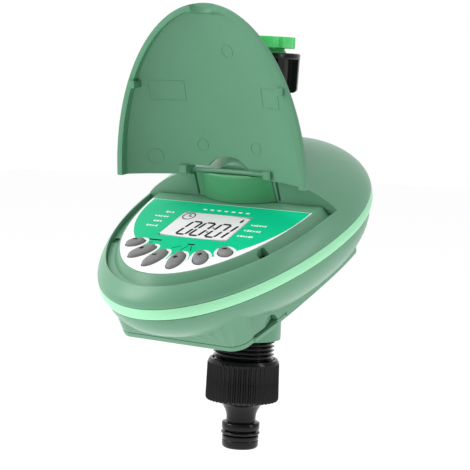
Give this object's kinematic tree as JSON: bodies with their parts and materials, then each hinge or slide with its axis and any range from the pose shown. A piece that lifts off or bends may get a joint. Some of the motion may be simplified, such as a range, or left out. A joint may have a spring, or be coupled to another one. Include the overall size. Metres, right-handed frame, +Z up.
{
  "type": "drip irrigation timer",
  "caption": "Battery-powered hose-tap irrigation timer: tilted egg-shaped case with a hinged lid over its display and keys, on an upright water pipe.",
  "frame": {"origin": "centre of the inlet's top ring, where the tap screws in", "axes": "+Z up along the water pipe, -Y is the side of the control panel, +X to the right seen from the panel side"},
  "size_m": [0.1048, 0.1346, 0.1894],
  "materials": {
    "case_green": "fine satin moulding",
    "lid_green": "fine satin moulding",
    "block_green": "satin moulding",
    "band_mint": "satin soft moulding",
    "label_print": "printed film, emerald on white",
    "clear_lens": "clear moulded window",
    "display": "display glass, pale grey",
    "button_grey": "silicone rubber",
    "board": "solder mask",
    "black_plastic": "satin moulding",
    "bright_green": "glossy moulding",
    "rubber_black": "nitrile rubber",
    "white_plastic": "acetal",
    "grey_plastic": "moulding",
    "steel": "plated",
    "brass": "machined",
    "cell_jacket": "printed jacket"
  },
  "bodies": {
    "root": {"ball_seat_lower": "white_plastic", "ball_seat_upper": "white_plastic", "battery_cell_1": "cell_jacket", "battery_cell_2": "cell_jacket", "battery_contact_1": "steel", "battery_contact_2": "steel", "battery_door_pin": "steel", "battery_spring_1": "steel", "battery_spring_2": "steel", "button_pad": "button_grey", "case_screw_1": "steel", "case_screw_2": "steel", "case_screw_3": "steel", "case_screw_4": "steel", "circuit_board": "board", "control_panel": "case_green", "gear_motor": "steel", "gear_plate_front": "grey_plastic", "gear_plate_rear": "grey_plastic", "hinge_block": "block_green", "idler_axle": "steel", "lcd_lens": "clear_lens", "lcd_module": "display", "lower_shell": "case_green", "outlet_tube": "black_plastic", "panel_label": "label_print", "stem_o_ring": "rubber_black", "swivel_washer": "white_plastic", "trim_band": "band_mint", "upper_shell": "case_green", "valve_body": "black_plastic"},
    "lid": {"lid": "lid_green", "lid_hinge_pin": "lid_green"},
    "battery_door": {"battery_door": "case_green"},
    "swivel_nut": {"swivel_nut": "black_plastic", "inlet_adapter": "bright_green", "inlet_washer": "rubber_black", "filter_screen": "steel"},
    "outlet_connector": {"outlet_connector": "black_plastic", "outlet_washer": "rubber_black", "nozzle_o_ring": "rubber_black"},
    "valve_rotor": {"valve_ball": "steel", "valve_stem": "brass", "output_gear": "white_plastic"},
    "idler_gear": {"idler_gear": "white_plastic"},
    "motor_pinion": {"motor_pinion": "brass", "motor_shaft": "steel"},
    "button_1": {"button_1": "button_grey"},
    "button_2": {"button_2": "button_grey"},
    "button_3": {"button_3": "button_grey"},
    "button_4": {"button_4": "button_grey"},
    "button_5": {"button_5": "button_grey"},
    "button_6": {"button_6": "button_grey"}
  },
  "joints": [
    {"name": "lid_hinge", "type": "hinge", "parent": "root", "child": "lid", "pos_m": [0, -0.01622, -0.05744], "axis": [1, 0, 0], "range_deg": [0, 106.7]},
    {"name": "battery_door_hinge", "type": "hinge", "parent": "root", "child": "battery_door", "pos_m": [0, -0.02036, -0.11281], "axis": [1, 0, 0], "range_deg": [0, 60]},
    {"name": "swivel_nut_turn", "type": "hinge", "parent": "root", "child": "swivel_nut", "pos_m": [0, 0, 0], "axis": [0, 0, 1], "continuous": true},
    {"name": "outlet_connector_turn", "type": "hinge", "parent": "root", "child": "outlet_connector", "pos_m": [0, 0, -0.15], "axis": [0, 0, 1], "continuous": true},
    {"name": "valve_turn", "type": "hinge", "parent": "root", "child": "valve_rotor", "pos_m": [0, 0, -0.08], "axis": [0, 1, 0], "range_deg": [0, 90]},
    {"name": "idler_turn", "type": "hinge", "parent": "root", "child": "idler_gear", "pos_m": [0.01257, 0.02, -0.07274], "axis": [0, 1, 0], "range_deg": [-270, 0]},
    {"name": "motor_turn", "type": "hinge", "parent": "root", "child": "motor_pinion", "pos_m": [0, 0.022, -0.06548], "axis": [0, 1, 0], "range_deg": [0, 810]},
    {"name": "button_1_press", "type": "slide", "parent": "root", "child": "button_1", "axis": [0, 0.4067, -0.9135], "range_m": [0, 0.0008], "stiffness_N_per_m": 800},
    {"name": "button_2_press", "type": "slide", "parent": "root", "child": "button_2", "axis": [0, 0.4067, -0.9135], "range_m": [0, 0.0008], "stiffness_N_per_m": 800},
    {"name": "button_3_press", "type": "slide", "parent": "root", "child": "button_3", "axis": [0, 0.4067, -0.9135], "range_m": [0, 0.0008], "stiffness_N_per_m": 800},
    {"name": "button_4_press", "type": "slide", "parent": "root", "child": "button_4", "axis": [0, 0.4067, -0.9135], "range_m": [0, 0.0008], "stiffness_N_per_m": 800},
    {"name": "button_5_press", "type": "slide", "parent": "root", "child": "button_5", "axis": [0, 0.4067, -0.9135], "range_m": [0, 0.0008], "stiffness_N_per_m": 800},
    {"name": "button_6_press", "type": "slide", "parent": "root", "child": "button_6", "axis": [0, 0.4067, -0.9135], "range_m": [0, 0.0008], "stiffness_N_per_m": 800}
  ],
  "couplings": [
    {"joint": "idler_turn", "follows": "valve_turn", "ratio": -3},
    {"joint": "motor_turn", "follows": "valve_turn", "ratio": 9}
  ]
}
